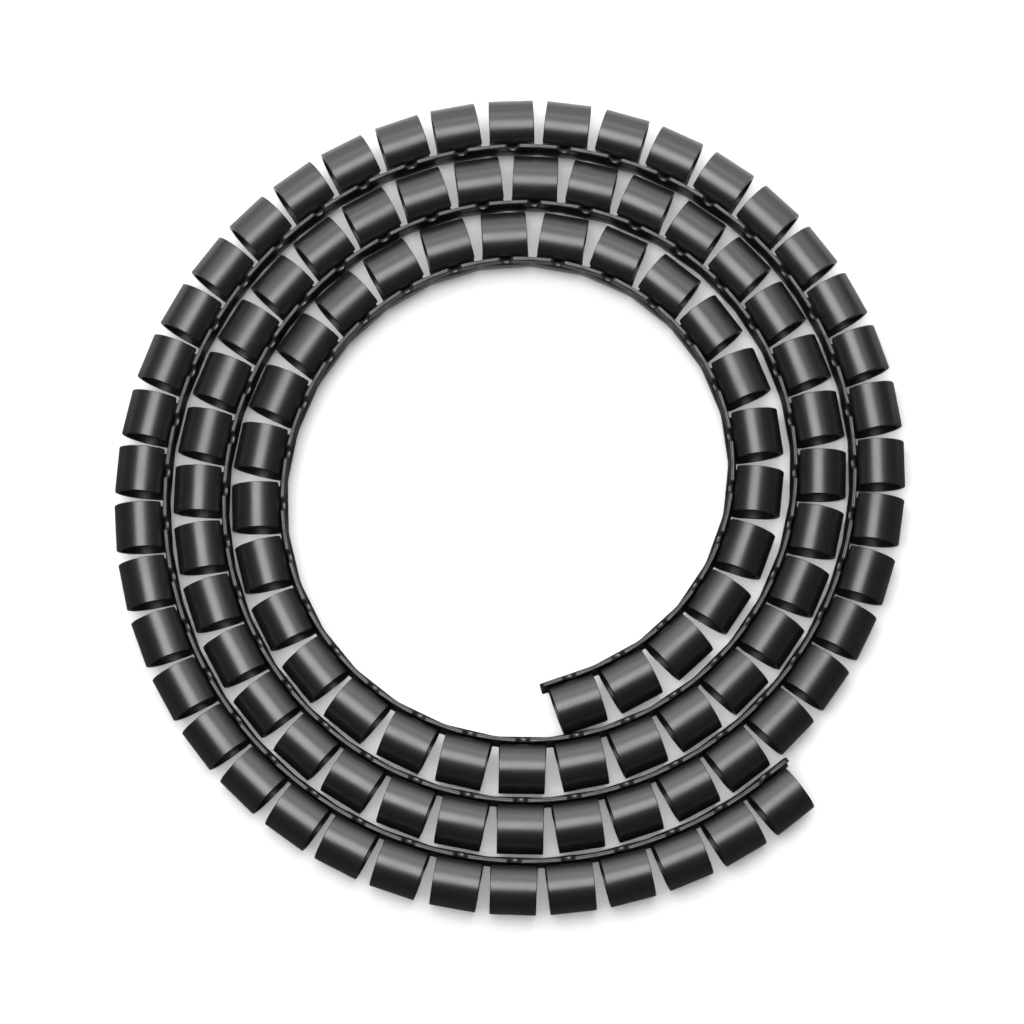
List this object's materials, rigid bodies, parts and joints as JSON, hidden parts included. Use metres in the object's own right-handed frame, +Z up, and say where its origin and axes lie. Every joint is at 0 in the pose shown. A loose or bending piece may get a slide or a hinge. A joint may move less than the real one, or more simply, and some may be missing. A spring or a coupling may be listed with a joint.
{
  "type": "coiled slotted cable wrap tube",
  "caption": "Flexible slotted plastic tube for bundling cables, slit lengthwise and cut across into bands, stored as a flat spiral coil.",
  "frame": {"origin": "centre of the coil's bounding box, on the floor it lies on", "axes": "+Z up through the open middle of the coil, which lies flat; -Y is the side the picture is taken from, +X its right"},
  "size_m": [0.2124, 0.2216, 0.015],
  "materials": {
    "black_plastic": "semi-gloss black extruded polyethylene"
  },
  "bodies": {
    "root": {"cable_wrap": "black_plastic"}
  },
  "joints": []
}
